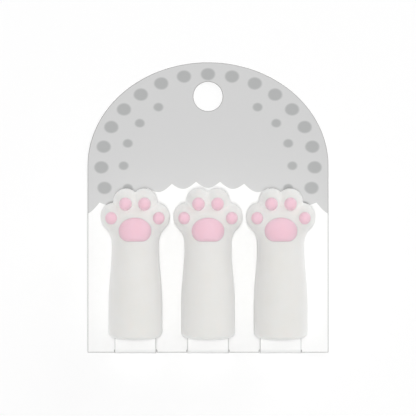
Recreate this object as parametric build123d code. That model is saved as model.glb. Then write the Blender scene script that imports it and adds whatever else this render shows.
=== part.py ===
from build123d import *
import math
import os

# Three soft rubber pencil caps, each an animal's arm and paw, on the folded strips of a die-cut hang card.
# Millimetres. The card lies on its back: X runs across it, Y runs up it to the hang hole, and Z points out
# of its printed face. The origin is the middle of the card's outline, on its back face.

# Hang card
board_thickness = 0.5
board_edge_break = 0.18
card_side_height = 50.4
card_dome_height = 27.9
card_side_margin = 3.53
hang_hole_diameter = 7.9
hang_hole_below_top = 9.2

# Folded strips: a riser at the card's bottom edge, a formed bend, and a tongue that goes up a cap's bore
strip_width = 11.1
strip_reveal = 4.33
strip_bend_radius = 1.2
tongue_behind_axis = 1.8
tongue_tip_round = 1.6
crease_clearance = 0.1
tongue_side_clearance = 0.2
tongue_tip_clearance = 2.0
shoulder_clearance = 0.15

# Arm of a cap, measured from its mouth
mouth_width = 14.35
mouth_depth = 13.0
mouth_rim_round = 1.4
arm_straight_length = 8.8
wrist_width = 12.75
wrist_depth = 11.6
wrist_height = 23.57
cap_card_gap = 0.2
arm_sections = 8

# Paw: a flared palm that carries two outer and two inner toes
paw_width = 18.9
paw_gap = 0.62
palm_width = 17.6
palm_depth = 11.4
palm_flare_above_wrist = 1.9
palm_sections = 6
dome_section_angles = (25, 45, 60, 75)
outer_toe_above_wrist = 8.7
outer_toe_half_width = 3.4
outer_toe_half_length = 3.9
outer_toe_half_depth = 4.4
outer_toe_forward = 0.9
inner_toe_above_outer = 4.2
inner_toe_offset = 2.45
inner_toe_half_width = 3.5
inner_toe_half_length = 3.5
inner_toe_half_depth = 4.8
inner_toe_forward = 0.6

# Blind bore for the pencil: straight, then pointed like the pencil's sharpened end
bore_diameter = 7.8
bore_straight_length = 20.0
bore_point_length = 13.0
bore_tip_diameter = 2.4
bore_mouth_chamfer = 0.3

# Pink inlays, each in a pocket of the paw and standing a little proud of it
inlay_clearance = 0.04
inlay_stand = 0.85
inner_pad_half_width = 1.7
inner_pad_half_length = 1.8
inner_pad_half_depth = 1.4
inner_pad_outward = 0.1
inner_pad_drop = 0.7
outer_pad_half_width = 1.6
outer_pad_half_length = 1.7
outer_pad_half_depth = 1.4
outer_pad_outward = 0.3
outer_pad_drop = 0.3
palm_pad_width = 8.85
palm_pad_base_width = 3.8
palm_pad_line_above_wrist = 4.9
palm_pad_rise = 3.65
palm_pad_heel = 2.78
palm_pad_sink = 1.5
palm_pad_crown_radius = 9.0
palm_pad_edge_round = 0.6

# Places that follow from the sizes
cap_pitch = paw_width + paw_gap
card_width = 3 * paw_width + 2 * paw_gap + 2 * card_side_margin
card_height = card_side_height + card_dome_height
card_bottom = -card_height / 2
mouth_y = card_bottom + strip_reveal
bore_axis_z = board_thickness + cap_card_gap + mouth_depth / 2
tongue_z = bore_axis_z - tongue_behind_axis
tongue_back = tongue_behind_axis + board_thickness / 2
tongue_width = 2 * (math.sqrt((bore_diameter / 2) ** 2 - tongue_back ** 2) - tongue_side_clearance)
tongue_tip_y = mouth_y + bore_straight_length - tongue_tip_clearance
palm_flare_start = wrist_height + palm_flare_above_wrist
outer_toe_height = wrist_height + outer_toe_above_wrist
outer_toe_offset = paw_width / 2 - outer_toe_half_width
inner_toe_height = outer_toe_height + inner_toe_above_outer
palm_pad_line = wrist_height + palm_pad_line_above_wrist
palm_pad_root = palm_depth / 2 - palm_pad_sink
palm_pad_top = palm_depth / 2 + inlay_stand
cap_centres = {"left": -cap_pitch, "middle": 0.0, "right": cap_pitch}


def ramp(height, start, end):
    """Smooth step from 0 at start to 1 at end."""
    share = min(max((height - start) / (end - start), 0.0), 1.0)
    return share * share * (3 - 2 * share)


def between(first, second, share):
    return first + (second - first) * share


def ellipsoid(half_width, half_length, half_depth):
    return scale(Sphere(1.0), by=(half_width, half_length, half_depth))


def ellipse_section(height, half_width, half_depth):
    """Section of the cap across its bore axis, at a height above the mouth."""
    plane = Plane(origin=(0, height, 0), x_dir=(1, 0, 0), z_dir=(0, 1, 0))
    return plane * Ellipse(half_width, half_depth)


def arm_section(height):
    taper = ramp(height, arm_straight_length, wrist_height)
    flare = ramp(height, palm_flare_start, outer_toe_height)
    arm_half_width = between(mouth_width, wrist_width, taper) / 2
    arm_half_depth = between(mouth_depth, wrist_depth, taper) / 2
    half_width = between(arm_half_width, palm_width / 2, flare)
    half_depth = between(arm_half_depth, palm_depth / 2, flare)
    return ellipse_section(height, half_width, half_depth)


def palm_dome_section(angle):
    """Section above the widest part of the palm, which closes like a dome towards the inner toes."""
    height = outer_toe_height + inner_toe_above_outer * math.sin(math.radians(angle))
    shrink = math.cos(math.radians(angle))
    return ellipse_section(height, shrink * palm_width / 2, shrink * palm_depth / 2)


def arm_and_palm():
    """One loft from the mouth, through the narrow wrist, to the domed palm."""
    arm_step = wrist_height / arm_sections
    palm_step = (outer_toe_height - wrist_height) / palm_sections
    heights = [arm_step * index for index in range(arm_sections)]
    heights += [wrist_height + palm_step * index for index in range(palm_sections + 1)]
    sections = [arm_section(height) for height in heights]
    sections += [palm_dome_section(angle) for angle in dome_section_angles]
    solid = loft(sections)
    mouth_edge = solid.edges().sort_by(Axis.Y)[0]
    return fillet(mouth_edge, mouth_rim_round)


def outer_toe(side):
    lobe = ellipsoid(outer_toe_half_width, outer_toe_half_length, outer_toe_half_depth)
    return Pos(side * outer_toe_offset, outer_toe_height, outer_toe_forward) * lobe


def inner_toe(side):
    lobe = ellipsoid(inner_toe_half_width, inner_toe_half_length, inner_toe_half_depth)
    return Pos(side * inner_toe_offset, inner_toe_height, inner_toe_forward) * lobe


def pencil_bore():
    radius = bore_diameter / 2
    chamfered_radius = radius + bore_mouth_chamfer
    tip_height = bore_straight_length + bore_point_length
    profile = Polyline(
        (0, 0),
        (chamfered_radius, 0),
        (radius, bore_mouth_chamfer),
        (radius, bore_straight_length),
        (bore_tip_diameter / 2, tip_height),
        (0, tip_height),
        close=True,
    )
    return revolve(make_face(profile), Axis.Y)


def lobe_rise(across, along, half_width, half_length, half_depth):
    """Height of a toe lobe's front above its centre, at an offset from that centre."""
    return half_depth * math.sqrt(1 - (across / half_width) ** 2 - (along / half_length) ** 2)


def outer_toe_pad(side, grow=0.0):
    """A domed button in an outer toe, or its pocket when it is grown by a clearance."""
    rise = lobe_rise(
        outer_pad_outward, outer_pad_drop, outer_toe_half_width, outer_toe_half_length, outer_toe_half_depth
    )
    centre_x = side * (outer_toe_offset + outer_pad_outward)
    centre_y = outer_toe_height - outer_pad_drop
    centre_z = outer_toe_forward + rise + inlay_stand - outer_pad_half_depth
    button = ellipsoid(outer_pad_half_width + grow, outer_pad_half_length + grow, outer_pad_half_depth + grow)
    return Pos(centre_x, centre_y, centre_z) * button


def inner_toe_pad(side, grow=0.0):
    """A domed button in an inner toe, or its pocket when it is grown by a clearance."""
    rise = lobe_rise(
        inner_pad_outward, inner_pad_drop, inner_toe_half_width, inner_toe_half_length, inner_toe_half_depth
    )
    centre_x = side * (inner_toe_offset + inner_pad_outward)
    centre_y = inner_toe_height - inner_pad_drop
    centre_z = inner_toe_forward + rise + inlay_stand - inner_pad_half_depth
    button = ellipsoid(inner_pad_half_width + grow, inner_pad_half_length + grow, inner_pad_half_depth + grow)
    return Pos(centre_x, centre_y, centre_z) * button


def palm_pad_outline(grow=0.0):
    """Half an ellipse above the pad's widest line; below it, a heel with round corners and a flat base."""
    half_width = palm_pad_width / 2 + grow
    half_base = palm_pad_base_width / 2
    corner = half_width - half_base
    rise = palm_pad_rise + grow
    heel = palm_pad_heel + grow
    base = palm_pad_line - heel
    outline = [
        EllipticalCenterArc((0, palm_pad_line), half_width, rise, start_angle=0, arc_size=180),
        EllipticalCenterArc((-half_base, palm_pad_line), corner, heel, start_angle=180, arc_size=90),
        Line((-half_base, base), (half_base, base)),
        EllipticalCenterArc((half_base, palm_pad_line), corner, heel, start_angle=270, arc_size=90),
    ]
    return make_face(Curve() + outline)


def palm_pad():
    """The palm's inlay: a flat root in its pocket, a top crowned across the paw, and a rounded edge."""
    block = Pos(0, 0, palm_pad_root) * extrude(palm_pad_outline(), amount=palm_pad_top - palm_pad_root)
    crown_length = 2 * (palm_pad_rise + palm_pad_heel)
    crown = Cylinder(palm_pad_crown_radius, crown_length, rotation=(90, 0, 0))
    crowned = block & Pos(0, palm_pad_line, palm_pad_top - palm_pad_crown_radius) * crown
    rim = crowned.faces().sort_by(Axis.Z)[-1].edges()
    return fillet(rim, palm_pad_edge_round)


def palm_pocket():
    outline = palm_pad_outline(inlay_clearance)
    return Pos(0, 0, palm_pad_root - inlay_clearance) * extrude(outline, amount=palm_depth)


def cap_body():
    """The moulded arm and paw, bored for the pencil and pocketed for its inlays."""
    solid = arm_and_palm()
    for side in (-1, 1):
        solid += outer_toe(side)
        solid += inner_toe(side)
    solid -= pencil_bore()
    solid -= palm_pocket()
    for side in (-1, 1):
        solid -= outer_toe_pad(side, inlay_clearance)
        solid -= inner_toe_pad(side, inlay_clearance)
    return solid


def cap_pieces():
    return {
        "body": cap_body(),
        "palm_pad": palm_pad(),
        "toe_pad_outer_left": outer_toe_pad(-1),
        "toe_pad_inner_left": inner_toe_pad(-1),
        "toe_pad_inner_right": inner_toe_pad(1),
        "toe_pad_outer_right": outer_toe_pad(1),
    }


def hang_card():
    """The card's face, with a seat in its bottom edge for each strip's crease."""
    side_top = card_bottom + card_side_height
    half = card_width / 2
    sides = Polyline((half, side_top), (half, card_bottom), (-half, card_bottom), (-half, side_top))
    dome = EllipticalCenterArc((0, side_top), half, card_dome_height, start_angle=0, arc_size=180)
    outline = make_face(sides + dome)
    hole_y = card_height / 2 - hang_hole_below_top
    outline -= Pos(0, hole_y) * Circle(hang_hole_diameter / 2)
    seat_width = strip_width + 2 * crease_clearance
    seat_depth = board_thickness + crease_clearance
    for centre in cap_centres.values():
        outline -= Pos(centre, card_bottom) * Rectangle(seat_width, 2 * seat_depth)
    board = extrude(outline, amount=board_thickness)
    front_edges = board.edges().group_by(Axis.Z)[-1]
    return chamfer(front_edges, board_edge_break)


def strip_side_view():
    """The bent strip from the side: round at its crease, up the riser, round the bend and along the tongue."""
    half = board_thickness / 2
    outer_face = card_bottom
    inner_face = card_bottom + board_thickness
    bend_start_z = tongue_z + half - strip_bend_radius
    bend_end_y = card_bottom + strip_bend_radius
    bend_centre = (bend_end_y, bend_start_z)
    outline = [
        CenterArc((card_bottom + half, half), half, 180, 180),
        Line((outer_face, half), (outer_face, bend_start_z)),
        CenterArc(bend_centre, strip_bend_radius, 90, 90),
        Polyline(
            (bend_end_y, tongue_z + half),
            (tongue_tip_y, tongue_z + half),
            (tongue_tip_y, tongue_z - half),
            (bend_end_y, tongue_z - half),
        ),
        CenterArc(bend_centre, strip_bend_radius - board_thickness, 90, 90),
        Line((inner_face, bend_start_z), (inner_face, half)),
    ]
    return Plane.YZ * make_face(Curve() + outline)


def strip_front_view():
    """The strip from the front: wide up to the cap's mouth, then a narrow tongue with round corners."""
    shoulder_y = mouth_y - shoulder_clearance
    wide_length = shoulder_y - card_bottom
    narrow_length = tongue_tip_y - card_bottom
    wide = Pos(0, card_bottom + wide_length / 2) * Rectangle(strip_width, wide_length)
    narrow = Pos(0, card_bottom + narrow_length / 2) * Rectangle(tongue_width, narrow_length)
    tip = narrow.vertices().group_by(Axis.Y)[-1]
    return wide + fillet(tip, tongue_tip_round)


def folded_strip():
    bent = extrude(strip_side_view(), amount=strip_width / 2, both=True)
    bent = chamfer(bent.faces().filter_by(Axis.X).edges(), board_edge_break)
    cut = extrude(strip_front_view(), amount=tongue_z + board_thickness)
    return bent & cut


def main():
    os.makedirs("parts", exist_ok=True)
    export_step(hang_card(), "parts/hang_card.step")
    strip = folded_strip()
    pieces = cap_pieces()
    for name, centre in cap_centres.items():
        export_step(Pos(centre, 0, 0) * strip, f"parts/{name}_tongue.step")
        for piece_name, piece in pieces.items():
            placed = Pos(centre, mouth_y, bore_axis_z) * piece
            export_step(placed, f"parts/{name}_cap_{piece_name}.step")


main()
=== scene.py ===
import math
from functools import partial
from typing import Callable, NamedTuple

import bmesh
import bpy
import numpy as np
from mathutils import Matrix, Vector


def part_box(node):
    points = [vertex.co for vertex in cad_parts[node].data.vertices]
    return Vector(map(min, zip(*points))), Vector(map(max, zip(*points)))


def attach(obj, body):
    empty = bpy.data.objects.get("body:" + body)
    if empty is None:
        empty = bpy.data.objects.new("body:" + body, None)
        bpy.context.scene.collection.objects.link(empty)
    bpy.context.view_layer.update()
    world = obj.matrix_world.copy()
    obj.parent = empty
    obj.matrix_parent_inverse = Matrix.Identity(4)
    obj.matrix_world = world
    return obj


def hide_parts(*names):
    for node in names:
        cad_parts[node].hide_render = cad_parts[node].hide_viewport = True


# Three rubber paw caps on a hang card, lying on a white floor and seen from straight above.
# A cap's shape is written in millimetres in its own frame: x across, y up from the mouth, z out of the palm.
# The print, the finishes and the stage are written in metres.

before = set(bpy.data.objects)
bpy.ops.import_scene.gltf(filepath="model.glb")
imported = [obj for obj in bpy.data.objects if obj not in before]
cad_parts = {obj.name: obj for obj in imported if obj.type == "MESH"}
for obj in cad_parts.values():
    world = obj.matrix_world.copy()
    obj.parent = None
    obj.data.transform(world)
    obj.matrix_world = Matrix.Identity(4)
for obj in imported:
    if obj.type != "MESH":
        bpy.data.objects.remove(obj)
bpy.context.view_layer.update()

MM = 0.001
SIDES = ("left", "middle", "right")

# Arm
MOUTH_WIDTH = 14.35
MOUTH_DEPTH = 13.0
MOUTH_RIM_ROUND = 1.4
MOUTH_RIM_ROUND_IN_FRONT = 0.85
MOUTH_RIM_SIDE_POWER = 4
MOUTH_LEAN = 0.52
MOUTH_LEAN_LENGTH = 8.0
ARM_STRAIGHT = 8.8
WRIST_WIDTH = 12.6
WRIST_DEPTH = 11.6
WRIST_HEIGHT = 23.57

# Palm and toes
PALM_WIDTH = 17.3
PALM_DEPTH = 11.4
PALM_FLARE_START = 25.47
PALM_TOP_HEIGHT = 32.27
PALM_DOME = 4.2
OUTER_TOE_CENTRE = (5.98, PALM_TOP_HEIGHT, 0.9)
OUTER_TOE_HALF = (3.3, 3.75, 4.6)
INNER_TOE_CENTRE = (2.45, 36.47, 0.6)
INNER_TOE_HALF = (3.45, 3.45, 5.0)
VALLEY_AT_EDGE = 0.4
VALLEY_ON_FACE = 0.7
FACE_START = 1.0
FACE_END = 4.0
PALM_VALLEY = 0.7
PALM_VALLEY_BEHIND = 2.4

# Bore
BORE_RADIUS = 3.9
BORE_STRAIGHT = 20.0
BORE_TIP_RADIUS = 1.2
BORE_TIP_HEIGHT = 33.0
BORE_CHAMFER = 0.3

# Pads: their places in the paw, their outlines, and how they stand in it
INNER_PAD_PLACE = (2.55, 35.77)
INNER_PAD_HALF = (1.7, 1.8)
OUTER_PAD_PLACE = (6.35, 31.97)
OUTER_PAD_HALF = (1.6, 1.7)
PALM_PAD_PLACE = (0.0, 28.47)
PALM_PAD_HALF_WIDTH = 4.42
PALM_PAD_HALF_BASE = 1.9
PALM_PAD_RISE = 3.65
PALM_PAD_HEEL = 2.78
TOE_PAD_DEPTH = 1.4
TOE_PAD_CROWN = 2.2
PALM_PAD_DEPTH = 0.97
PALM_PAD_CROWN = 3.2
PAD_STAND = 0.72
PAD_ROOT = 0.5
RECESS_DEPTH = 0.15
RECESS_REACH = 0.35

# Mesh density
ROUND_POINTS = 240
ARM_RINGS = 28
PALM_RINGS = 44
TIP_RINGS = 64
RIM_RINGS = 10
BORE_RINGS = 10
PAD_ROUND_POINTS = 96
PAD_RINGS = 24

# Search for the skin along a ray by halving: at FAR every ray has left the cap
FAR = 16.0
HALVINGS = 32

# Keeps divisions finite
TINY = 1e-9


def smooth_step(value, start, end):
    """0 before start, 1 after end, and a soft rise between them."""
    share = np.clip((value - start) / (end - start), 0.0, 1.0)
    return share * share * (3 - 2 * share)


def smooth_union(first, second, width):
    """Union of two distance fields with a soft valley of that width."""
    share = np.clip(0.5 + 0.5 * (second - first) / width, 0.0, 1.0)
    return second * (1 - share) + first * share - width * share * (1 - share)


def oval_distance(offset, half):
    """Near its skin, the distance from an ellipsoid, negative inside."""
    unit = np.linalg.norm(offset / half, axis=-1)
    slope = np.linalg.norm(offset / np.square(half), axis=-1)
    return unit * (unit - 1) / np.maximum(slope, TINY)


def arm_distance(points):
    """Distance from the arm, which narrows to the wrist, flares to the palm and ends in a dome."""
    height = points[..., 1]
    taper = smooth_step(height, ARM_STRAIGHT, WRIST_HEIGHT)
    flare = smooth_step(height, PALM_FLARE_START, PALM_TOP_HEIGHT)
    half_width = (MOUTH_WIDTH + (WRIST_WIDTH - MOUTH_WIDTH) * taper) / 2
    half_depth = (MOUTH_DEPTH + (WRIST_DEPTH - MOUTH_DEPTH) * taper) / 2
    half_width = half_width + (PALM_WIDTH / 2 - half_width) * flare
    half_depth = half_depth + (PALM_DEPTH / 2 - half_depth) * flare
    above = np.maximum(height - PALM_TOP_HEIGHT, 0.0)
    offset = np.stack([points[..., 0], above, points[..., 2]], axis=-1)
    half = np.stack([half_width, np.full_like(half_width, PALM_DOME), half_depth], axis=-1)
    return oval_distance(offset, half)


def paw_distance(points):
    """Distance from the cap's outside: four toes, softly joined to the arm and palm.

    The valleys between toes are narrow round the paw's edge and wide on its face.
    The toes fade into its back.
    """
    face = smooth_step(np.abs(points[..., 2]), FACE_START, FACE_END)
    valley = VALLEY_AT_EDGE + (VALLEY_ON_FACE - VALLEY_AT_EDGE) * face
    toes = np.full(points.shape[:-1], FAR)
    for centre, half in ((OUTER_TOE_CENTRE, OUTER_TOE_HALF), (INNER_TOE_CENTRE, INNER_TOE_HALF)):
        for side in (-1, 1):
            placed = np.array((side * centre[0], centre[1], centre[2]))
            toes = smooth_union(toes, oval_distance(points - placed, np.array(half)), valley)
    behind = smooth_step(-points[..., 2], FACE_START, FACE_END)
    palm_valley = PALM_VALLEY + (PALM_VALLEY_BEHIND - PALM_VALLEY) * behind
    return smooth_union(arm_distance(points), toes, palm_valley)


def skin_along(starts, directions):
    """Where rays from inside the cap leave its skin."""
    low = np.zeros(starts.shape[:-1])
    high = np.full(starts.shape[:-1], FAR)
    for _ in range(HALVINGS):
        middle = (low + high) / 2
        inside = paw_distance(starts + directions * middle[..., None]) < 0
        low = np.where(inside, middle, low)
        high = np.where(inside, high, middle)
    return starts + directions * low[..., None]


def paw_front(x, y):
    """Height of the paw's front skin over spots of its face."""
    starts = np.stack([x, y, np.zeros_like(x)], axis=-1)
    directions = np.broadcast_to(np.array([0.0, 0.0, 1.0]), starts.shape)
    return skin_along(starts, directions)[..., 2]


def toe_pad_share(across, along, half):
    """Share of the way from a toe pad's middle to its oval outline."""
    return np.hypot(across / half[0], along / half[1])


def palm_pad_share(across, along):
    """Share of the way from the middle of the palm pad's widest line to its outline."""
    arch = np.hypot(across / PALM_PAD_HALF_WIDTH, along / PALM_PAD_RISE)
    flat = np.abs(along) / PALM_PAD_HEEL
    corner = PALM_PAD_HALF_WIDTH - PALM_PAD_HALF_BASE
    square = np.maximum(np.square(across / corner) + np.square(along / PALM_PAD_HEEL), TINY)
    lean = np.abs(across) * PALM_PAD_HALF_BASE / corner ** 2
    excess = 1 - (PALM_PAD_HALF_BASE / corner) ** 2
    stretch = (lean + np.sqrt(np.square(lean) + square * excess)) / square
    heel = np.where(np.abs(across) <= PALM_PAD_HALF_BASE * flat, flat, 1 / stretch)
    return np.where(along > 0, arch, heel)


class Pad(NamedTuple):
    """A pad's place on the paw, its outline, and the depth and fullness of its dome.

    The palm pad is curved with the palm below it. A toe pad is a button with a shape of its own.
    """
    name: str
    place: tuple
    share: Callable
    depth: float
    crown: float
    curved_with_skin: bool


def pad_list():
    """The palm pad and the four toe pads of a cap."""
    palm_dome = (PALM_PAD_DEPTH, PALM_PAD_CROWN)
    toe_dome = (TOE_PAD_DEPTH, TOE_PAD_CROWN)
    pads = [Pad("palm_pad", PALM_PAD_PLACE, palm_pad_share, *palm_dome, curved_with_skin=True)]
    rows = (("outer", OUTER_PAD_PLACE, OUTER_PAD_HALF), ("inner", INNER_PAD_PLACE, INNER_PAD_HALF))
    for row, place, half in rows:
        share = partial(toe_pad_share, half=half)
        for side, label in ((-1, "left"), (1, "right")):
            name = f"toe_pad_{row}_{label}"
            middle = (side * place[0], place[1])
            pads.append(Pad(name, middle, share, *toe_dome, curved_with_skin=False))
    return pads


def recessed(points):
    """The cap's skin, drawn in where the pads are set into its face."""
    edge = np.full(points.shape[:-1], FAR)
    for pad in pad_list():
        across = points[..., 0] - pad.place[0]
        along = points[..., 1] - pad.place[1]
        out = np.maximum(pad.share(across, along), TINY)
        edge = np.minimum(edge, np.hypot(across, along) * (1 - 1 / out))
    depth = RECESS_DEPTH * (1 - smooth_step(edge, -RECESS_REACH, RECESS_REACH))
    sunk = points.copy()
    sunk[..., 2] -= np.where(points[..., 2] > 0, depth, 0.0)
    return sunk


def ring_directions():
    """Directions all round the bore's axis, square to it."""
    turn = np.linspace(0, 2 * math.pi, ROUND_POINTS, endpoint=False)
    return np.stack([np.cos(turn), np.zeros(ROUND_POINTS), np.sin(turn)], axis=-1)


def oval_ring(directions, height, half_width, half_depth):
    """A ring round the bore's axis; its height and halves are single values or one for each direction."""
    ring = directions.copy()
    ring[:, 0] *= half_width
    ring[:, 1] = height
    ring[:, 2] *= half_depth
    return ring


def bore_rings(directions):
    """From the bore's pointed tip down to its chamfered mouth."""
    rings = []
    for share in np.linspace(0, 1, BORE_RINGS):
        height = BORE_TIP_HEIGHT + (BORE_STRAIGHT - BORE_TIP_HEIGHT) * share
        radius = BORE_TIP_RADIUS + (BORE_RADIUS - BORE_TIP_RADIUS) * share
        rings.append(oval_ring(directions, height, radius, radius))
    for height in np.linspace(BORE_STRAIGHT, BORE_CHAMFER, BORE_RINGS)[1:]:
        rings.append(oval_ring(directions, height, BORE_RADIUS, BORE_RADIUS))
    lip = BORE_RADIUS + BORE_CHAMFER
    rings.append(oval_ring(directions, 0.0, lip, lip))
    return rings


def rim_rings(directions):
    """Round the outer rim of the mouth, a quarter circle in section that is larger at its two sides."""
    at_sides = directions[:, 0] ** MOUTH_RIM_SIDE_POWER
    radius = MOUTH_RIM_ROUND_IN_FRONT + (MOUTH_RIM_ROUND - MOUTH_RIM_ROUND_IN_FRONT) * at_sides
    rings = []
    for turn in np.linspace(0, math.pi / 2, RIM_RINGS):
        inset = radius * (1 - math.sin(turn))
        height = radius * (1 - math.cos(turn))
        rings.append(oval_ring(directions, height, MOUTH_WIDTH / 2 - inset, MOUTH_DEPTH / 2 - inset))
    return rings


def arm_rings(directions):
    """Up the arm and the palm, square to the bore."""
    heights = list(np.linspace(MOUTH_RIM_ROUND, WRIST_HEIGHT, ARM_RINGS)[1:])
    heights += list(np.linspace(WRIST_HEIGHT, PALM_TOP_HEIGHT, PALM_RINGS)[1:])
    rings = []
    for height in heights:
        starts = np.broadcast_to(np.array([0.0, height, 0.0]), directions.shape)
        rings.append(recessed(skin_along(starts, directions)))
    return rings


def tip_rings(directions):
    """Over the toes, on rays that fan out from the middle of the palm."""
    starts = np.broadcast_to(np.array([0.0, PALM_TOP_HEIGHT, 0.0]), directions.shape)
    rings = []
    for lift in np.linspace(0, math.pi / 2, TIP_RINGS + 1)[1:-1]:
        fan = directions * math.cos(lift)
        fan[:, 1] = math.sin(lift)
        rings.append(recessed(skin_along(starts, fan)))
    return rings


def tip_point():
    """The skin's point on the bore's axis, between the inner toes."""
    start = np.array([[0.0, PALM_TOP_HEIGHT, 0.0]])
    return skin_along(start, np.array([[0.0, 1.0, 0.0]]))


def leaning_mouth(points):
    """The rim hangs a little lower in front than behind."""
    fade = 1 - smooth_step(points[:, 1], 0.0, MOUTH_LEAN_LENGTH)
    leaned = points.copy()
    leaned[:, 1] -= MOUTH_LEAN * fade * points[:, 2] / (MOUTH_DEPTH / 2)
    return leaned


def ringed_faces(ring_count, points):
    """Faces of a closed skin: a pole, rings of that many points, and another pole."""
    last_pole = 1 + ring_count * points
    last_ring = last_pole - points
    faces = []
    for index in range(points):
        after = (index + 1) % points
        faces.append((0, 1 + index, 1 + after))
        for ring in range(ring_count - 1):
            low = 1 + ring * points
            high = low + points
            faces.append((low + index, high + index, high + after, low + after))
        faces.append((last_pole, last_ring + after, last_ring + index))
    return faces


def cap_body_mesh():
    """One closed skin: bore tip, bore, mouth rim, arm, palm, toes."""
    directions = ring_directions()
    rings = bore_rings(directions) + rim_rings(directions) + arm_rings(directions) + tip_rings(directions)
    bore_tip = np.array([[0.0, BORE_TIP_HEIGHT, 0.0]])
    vertices = leaning_mouth(np.concatenate([bore_tip] + rings + [tip_point()]))
    return vertices, ringed_faces(len(rings), ROUND_POINTS)


def pad_skin(pad, spots, share):
    """Points of a pad's dome over spots of the paw's face, at a share of the way to its outline."""
    seats = spots if pad.curved_with_skin else np.broadcast_to(np.array(pad.place), spots.shape)
    swell = math.sqrt(1 - share ** pad.crown)
    height = paw_front(seats[:, 0], seats[:, 1]) + PAD_STAND - pad.depth * (1 - swell)
    return np.stack([spots[:, 0], spots[:, 1], height], axis=-1)


def pad_mesh(pad):
    """A pad that swells out of the paw: a dome over its outline and a short root in the recess."""
    turn = np.linspace(0, 2 * math.pi, PAD_ROUND_POINTS, endpoint=False)
    heading = np.stack([np.cos(turn), np.sin(turn)], axis=-1)
    reach = 1 / pad.share(heading[:, 0], heading[:, 1])
    middle = np.array(pad.place)
    rings = []
    for share in np.sin(np.linspace(0, math.pi / 2, PAD_RINGS + 1))[1:]:
        spots = middle + heading * (reach * share)[:, None]
        rings.append(pad_skin(pad, spots, share))
    root = rings[-1].copy()
    root[:, 2] -= PAD_ROOT
    rings.append(root)
    top = pad_skin(pad, middle[None, :], 0.0)
    bottom = top.copy()
    bottom[:, 2] = root[:, 2].mean()
    vertices = np.concatenate([top] + rings + [bottom])
    return vertices, ringed_faces(len(rings), PAD_ROUND_POINTS)


def cap_meshes():
    """Vertices and faces of a cap's body and pads, by the last part of their nodes' names."""
    meshes = {"body": cap_body_mesh()}
    for pad in pad_list():
        meshes[pad.name] = pad_mesh(pad)
    return meshes


class Shader:
    """The node tree of a material or a world, with short calls for the nodes that they need here."""

    def __init__(self, owner):
        self.owner = owner
        self.owner.use_nodes = True
        self.tree = self.owner.node_tree
        self.tree.nodes.clear()

    def feed(self, socket, value):
        """Links a node's output to the socket, or sets the socket to a constant."""
        if isinstance(value, bpy.types.NodeSocket):
            self.tree.links.new(value, socket)
        else:
            socket.default_value = value

    def add(self, kind, **inputs):
        """A node with inputs by name, a blank written as an underscore."""
        node = self.tree.nodes.new(kind)
        for key, value in inputs.items():
            self.feed(node.inputs[key.replace("_", " ")], value)
        return node

    def math(self, operation, first, second=0.0):
        node = self.tree.nodes.new("ShaderNodeMath")
        node.operation = operation
        self.feed(node.inputs[0], first)
        self.feed(node.inputs[1], second)
        return node.outputs[0]

    def soft_step(self, value, start, end):
        node = self.add("ShaderNodeMapRange", Value=value, From_Min=start, From_Max=end)
        node.interpolation_type = "SMOOTHSTEP"
        return node.outputs[0]

    def spread(self, value, low, high):
        """Maps 0 to 1 onto low to high."""
        return self.add("ShaderNodeMapRange", Value=value, To_Min=low, To_Max=high).outputs[0]

    def mix(self, share, first, second):
        """The first colour where share is 0, the second where it is 1."""
        node = self.add("ShaderNodeMix", Factor=share)
        node.data_type = "RGBA"
        colours = [socket for socket in node.inputs if socket.type == "RGBA"]
        for socket, value in zip(colours, (first, second)):
            self.feed(socket, value)
        return [socket for socket in node.outputs if socket.type == "RGBA"][0]

    def noise(self, vector, scale, detail):
        return self.add("ShaderNodeTexNoise", Vector=vector, Scale=scale, Detail=detail).outputs["Fac"]

    def bump(self, height, strength, distance, **below):
        """A bumped normal; below may hold the Normal that it lies on."""
        node = self.add("ShaderNodeBump", Height=height, Strength=strength, Distance=distance, **below)
        return node.outputs[0]

    def seen_directly(self):
        """1 where the camera looks at it, straight, in a reflection or through glass."""
        paths = self.add("ShaderNodeLightPath").outputs
        straight = self.math("MAXIMUM", paths["Is Camera Ray"], paths["Is Glossy Ray"])
        return self.math("MAXIMUM", straight, paths["Is Transmission Ray"])

    def finish(self, kind="ShaderNodeBsdfPrincipled", output="ShaderNodeOutputMaterial", **inputs):
        surface = self.add(kind, **inputs)
        self.add(output, Surface=surface.outputs[0])
        return self.owner


def colour(red, green, blue):
    """A linear colour from sRGB values of 0 to 255."""
    parts = []
    for value in (red, green, blue):
        share = value / 255
        parts.append(share / 12.92 if share <= 0.04045 else ((share + 0.055) / 1.055) ** 2.4)
    return (*parts, 1.0)


# Rubber; a noise is a scale and a detail, a bump is a strength and a distance
WHITE_RUBBER = {
    "base": colour(237, 236, 233),
    "shade": colour(235, 234, 230),
    "roughness": 0.8,
    "specular": 0.3,
    "sheen": 1.0,
}
PINK_RUBBER = {
    "base": colour(248, 206, 219),
    "shade": colour(246, 202, 215),
    "roughness": 0.7,
    "specular": 0.4,
    "sheen": 0.4,
}
CLOUD_NOISE = (180.0, 3.0)
CLOUD_START = 0.3
CLOUD_END = 0.75
PORE_NOISE = (1500.0, 4.0)
PORE_BUMP = (0.10, 0.04 * MM)
PORE_SMOOTHER = 0.06
PORE_ROUGHER = 0.08
SKIN_NOISE = (5200.0, 2.0)
SKIN_BUMP = (0.15, 0.02 * MM)
SUBSURFACE_WEIGHT = 0.5
SUBSURFACE_RADIUS = (1.0, 0.9, 0.85)
SUBSURFACE_SCALE = 1.5 * MM
SHEEN_ROUGHNESS = 0.7


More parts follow.
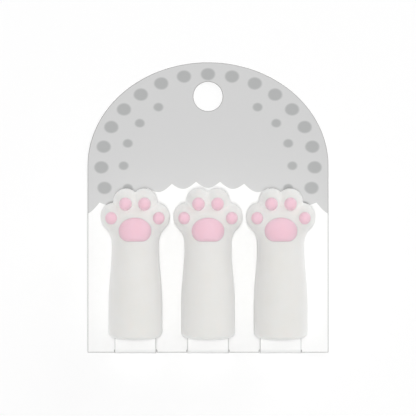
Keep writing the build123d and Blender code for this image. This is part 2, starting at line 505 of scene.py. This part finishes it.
def rubber_material(name, base, shade, roughness, specular, sheen):
    """Soft moulded rubber.

    It has a faint cloud in its colour, a fine matt skin, and light that spreads inside it.
    """
    shader = Shader(bpy.data.materials.new(name))
    place = shader.add("ShaderNodeTexCoord").outputs["Object"]
    cloud = shader.noise(place, *CLOUD_NOISE)
    pores = shader.noise(place, *PORE_NOISE)
    skin = shader.noise(place, *SKIN_NOISE)
    tint = shader.mix(shader.soft_step(cloud, CLOUD_START, CLOUD_END), base, shade)
    rough = shader.spread(pores, roughness - PORE_SMOOTHER, roughness + PORE_ROUGHER)
    dents = shader.bump(pores, *PORE_BUMP)
    return shader.finish(
        Base_Color=tint,
        Roughness=rough,
        Normal=shader.bump(skin, *SKIN_BUMP, Normal=dents),
        Specular_IOR_Level=specular,
        Subsurface_Weight=SUBSURFACE_WEIGHT,
        Subsurface_Radius=SUBSURFACE_RADIUS,
        Subsurface_Scale=SUBSURFACE_SCALE,
        Sheen_Weight=sheen,
        Sheen_Roughness=SHEEN_ROUGHNESS,
    )


# Print of the card: a grey header with a scalloped lower edge on a shallow arch,
# and rows of dots round the dome
CARD_SIDE_TOP = 11.25 * MM
CARD_HALF_WIDTH = 32.5 * MM
CARD_DOME = 27.9 * MM
CARD_MEAN_RADIUS = (CARD_HALF_WIDTH + CARD_DOME) / 2
HEADER_GREY = colour(211, 211, 211)
HEADER_EDGE_MIDDLE = 7.0 * MM
HEADER_EDGE_DROP = 7.0 * MM
SCALLOP_WIDTH = 6.5 * MM
SCALLOP_DEPTH = 1.7 * MM
PRINT_BLUR = 0.05 * MM
DOT_GREY = colour(178, 179, 179)
DOT_BLUR = 0.35 * MM
DOT_SLACK = 0.1
DOT_ROWS = (
    {"level": 0.885, "spacing": math.radians(13.0), "radius": 1.75 * MM, "bare": 0.0},
    {"level": 0.70, "spacing": math.radians(18.0), "radius": 1.2 * MM, "bare": 0.42},
)


def header_mask(shader, x, y):
    """1 in the header of the print."""
    share = shader.math("DIVIDE", x, CARD_HALF_WIDTH)
    drop = shader.math("MULTIPLY", shader.math("MULTIPLY", share, share), HEADER_EDGE_DROP)
    wave = shader.math("ABSOLUTE", shader.math("COSINE", shader.math("MULTIPLY", x, math.pi / SCALLOP_WIDTH)))
    above = shader.math("SUBTRACT", y, HEADER_EDGE_MIDDLE)
    above = shader.math("ADD", above, drop)
    above = shader.math("ADD", above, shader.math("MULTIPLY", wave, SCALLOP_DEPTH))
    return shader.soft_step(above, -PRINT_BLUR, PRINT_BLUR)


def length_of(shader, first, second):
    """Length of a vector with those two parts."""
    first_square = shader.math("MULTIPLY", first, first)
    second_square = shader.math("MULTIPLY", second, second)
    return shader.math("SQRT", shader.math("ADD", first_square, second_square))


def dot_row(shader, x, y, level, spacing, radius, bare):
    """A row of soft dots that follows the dome at a level of 0 to 1.

    It has no dot within bare radians of the dome's top, but one that is just at that limit is kept.
    """
    across = shader.math("DIVIDE", x, CARD_HALF_WIDTH)
    along = shader.math("DIVIDE", shader.math("SUBTRACT", y, CARD_SIDE_TOP), CARD_DOME)
    turn = shader.math("ARCTAN2", across, along)
    cell = shader.math("MULTIPLY", shader.math("ROUND", shader.math("DIVIDE", turn, spacing)), spacing)
    aside = shader.math("MULTIPLY", shader.math("SUBTRACT", turn, cell), level * CARD_MEAN_RADIUS)
    outward = shader.math("SUBTRACT", length_of(shader, across, along), level)
    away = length_of(shader, aside, shader.math("MULTIPLY", outward, CARD_MEAN_RADIUS))
    dot = shader.math("SUBTRACT", 1.0, shader.soft_step(away, radius - DOT_BLUR, radius + DOT_BLUR))
    kept = shader.math("GREATER_THAN", shader.math("ABSOLUTE", cell), bare - DOT_SLACK * spacing)
    return shader.math("MULTIPLY", dot, kept)


def printed_face(shader, x, y, white):
    """Colour of the card's front: the header and its dots on white board."""
    dots = 0.0
    for row in DOT_ROWS:
        dots = shader.math("MAXIMUM", dots, dot_row(shader, x, y, **row))
    grey = shader.mix(dots, HEADER_GREY, DOT_GREY)
    return shader.mix(header_mask(shader, x, y), white, grey)


# Board
FACE_COLOURS = (colour(253, 253, 253), colour(250, 250, 249))
FACE_ROUGHNESS = 0.7
CORE_COLOURS = (colour(188, 188, 187), colour(178, 178, 176))
CORE_ROUGHNESS = 0.85
BOARD_SPECULAR = 0.3
GRAIN_NOISE = (2600.0, 4.0)
GRAIN_BUMP = (0.08, 0.03 * MM)
FIBRE_NOISE = (700.0, 5.0)
CARD_EDGE = {"edge_axis": "Z", "edge_start": 0.97, "edge_full": 0.90}
STRIP_EDGE = {"edge_axis": "X", "edge_start": 0.45, "edge_full": 0.88}


def board_material(name, printed, edge_axis, edge_start, edge_full):
    """Coated white board with cut edges of a greyer core and a faint grain.

    Cut edges are told by the normal's part along edge_axis: small along Z on the card,
    large along X on a strip. They start and are full where that part has the two sizes given.
    """
    shader = Shader(bpy.data.materials.new(name))
    coordinates = shader.add("ShaderNodeTexCoord")
    place = coordinates.outputs["Object"]
    spot = shader.add("ShaderNodeSeparateXYZ", Vector=place)
    facing = shader.add("ShaderNodeSeparateXYZ", Vector=coordinates.outputs["Normal"])
    slant = shader.math("ABSOLUTE", facing.outputs[edge_axis])
    edge = shader.soft_step(slant, edge_start, edge_full)
    grain = shader.noise(place, *GRAIN_NOISE)
    fibre = shader.noise(place, *FIBRE_NOISE)
    face = shader.mix(fibre, *FACE_COLOURS)
    if printed:
        front = shader.math("GREATER_THAN", facing.outputs["Z"], 0.0)
        face = shader.mix(front, face, printed_face(shader, spot.outputs["X"], spot.outputs["Y"], face))
    core = shader.mix(fibre, *CORE_COLOURS)
    return shader.finish(
        Base_Color=shader.mix(edge, face, core),
        Roughness=shader.spread(edge, FACE_ROUGHNESS, CORE_ROUGHNESS),
        Normal=shader.bump(grain, *GRAIN_BUMP),
        Specular_IOR_Level=BOARD_SPECULAR,
    )


# Stage; the sensor is in millimetres, and the picture's width is measured on the card's face
PICTURE_WIDTH = 0.11224
SENSOR = 36.0
CAMERA_HEIGHT = 1.2
CAMERA_DOWN = 0.15 * MM
CAMERA_SIGHT = 10.0
CARD_FACE = 0.5 * MM
FLOOR_HALF = 1.5
FLOOR_DROP = 0.05 * MM
FLOOR_COLOUR = colour(250, 250, 250)
FLOOR_ROUGHNESS = 0.9
FLOOR_GLOW = 0.08
PURE_WHITE = (1.0, 1.0, 1.0, 1.0)
WORLD_LIGHT = 0.26
WORLD_SEEN = 1.0
LAMPS = {
    "top": {"place": (0.0, 0.0, 4.0), "size": (0.3, 0.9), "power": 105.0},
    "key": {"place": (1.02, 1.16, 0.41), "size": (0.8, 0.8), "power": 3.6},
}


def add_object(name, data, place=(0.0, 0.0, 0.0)):
    thing = bpy.data.objects.new(name, data)
    thing.location = place
    bpy.context.scene.collection.objects.link(thing)
    return thing


def add_camera():
    """A camera above the card whose picture is as wide as asked at the card's face."""
    lens = bpy.data.cameras.new("camera")
    lens.sensor_width = SENSOR
    lens.lens = SENSOR * (CAMERA_HEIGHT - CARD_FACE) / PICTURE_WIDTH
    lens.clip_end = CAMERA_SIGHT
    bpy.context.scene.camera = add_object("camera", lens, (0.0, -CAMERA_DOWN, CAMERA_HEIGHT))


def add_softbox(name, place, size, power):
    """A lamp of that width and length that looks at the origin."""
    lamp = bpy.data.lights.new(name, "AREA")
    lamp.shape = "RECTANGLE"
    lamp.size, lamp.size_y = size
    lamp.energy = power
    box = add_object(name, lamp, place)
    box.rotation_euler = (-box.location).to_track_quat("-Z", "Y").to_euler()


def floor_material():
    """White to the camera apart from the shadows that fall on it."""
    shader = Shader(bpy.data.materials.new("floor"))
    return shader.finish(
        Base_Color=FLOOR_COLOUR,
        Roughness=FLOOR_ROUGHNESS,
        Specular_IOR_Level=0.0,
        Emission_Color=PURE_WHITE,
        Emission_Strength=shader.math("MULTIPLY", shader.seen_directly(), FLOOR_GLOW),
    )


def add_floor():
    mesh = bpy.data.meshes.new("floor")
    corners = [(-1, -1), (1, -1), (1, 1), (-1, 1)]
    mesh.from_pydata([(x * FLOOR_HALF, y * FLOOR_HALF, 0.0) for x, y in corners], [], [(0, 1, 2, 3)])
    mesh.materials.append(floor_material())
    add_object("floor", mesh, (0.0, 0.0, -FLOOR_DROP))


def add_world():
    """A dim even surround that looks white."""
    shader = Shader(bpy.data.worlds.new("studio"))
    strength = shader.spread(shader.seen_directly(), WORLD_LIGHT, WORLD_SEEN)
    bpy.context.scene.world = shader.finish(
        "ShaderNodeBackground", "ShaderNodeOutputWorld", Color=PURE_WHITE, Strength=strength,
    )


def dress(node, material):
    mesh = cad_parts[node].data
    mesh.materials.clear()
    mesh.materials.append(material)


def dress_board():
    dress("hang_card", board_material("printed_board", True, **CARD_EDGE))
    strip = board_material("strip_board", False, **STRIP_EDGE)
    for side in SIDES:
        dress(f"{side}_tongue", strip)


def cap_place(side):
    """Where a cap's own frame has its origin: the middle of its mouth."""
    low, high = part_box(f"{side}_cap_body")
    return ((low.x + high.x) / 2, low.y, (low.z + high.z) / 2)


def new_piece(name, vertices, faces, place):
    """A smooth mesh object with its faces turned out, from vertices in millimetres and a place in metres."""
    mesh = bpy.data.meshes.new(name)
    metres = vertices * MM + np.array(place)
    mesh.from_pydata(metres.tolist(), [], faces)
    work = bmesh.new()
    work.from_mesh(mesh)
    bmesh.ops.recalc_face_normals(work, faces=work.faces)
    work.to_mesh(mesh)
    work.free()
    mesh.polygons.foreach_set("use_smooth", [True] * len(mesh.polygons))
    mesh.update()
    return add_object(name, mesh)


def add_caps():
    white = rubber_material("white_rubber", **WHITE_RUBBER)
    pink = rubber_material("pink_rubber", **PINK_RUBBER)
    meshes = cap_meshes()
    for side in SIDES:
        place = cap_place(side)
        for part, (vertices, faces) in meshes.items():
            node = f"{side}_cap_{part}"
            piece = new_piece(f"{node}_rubber", vertices, faces, place)
            piece.data.materials.append(white if part == "body" else pink)
            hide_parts(node)
            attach(piece, f"{side}_cap")


bpy.context.scene.view_settings.view_transform = "Standard"
add_caps()
dress_board()
add_floor()
add_world()
for lamp_name, lamp_values in LAMPS.items():
    add_softbox(lamp_name, **lamp_values)
add_camera()
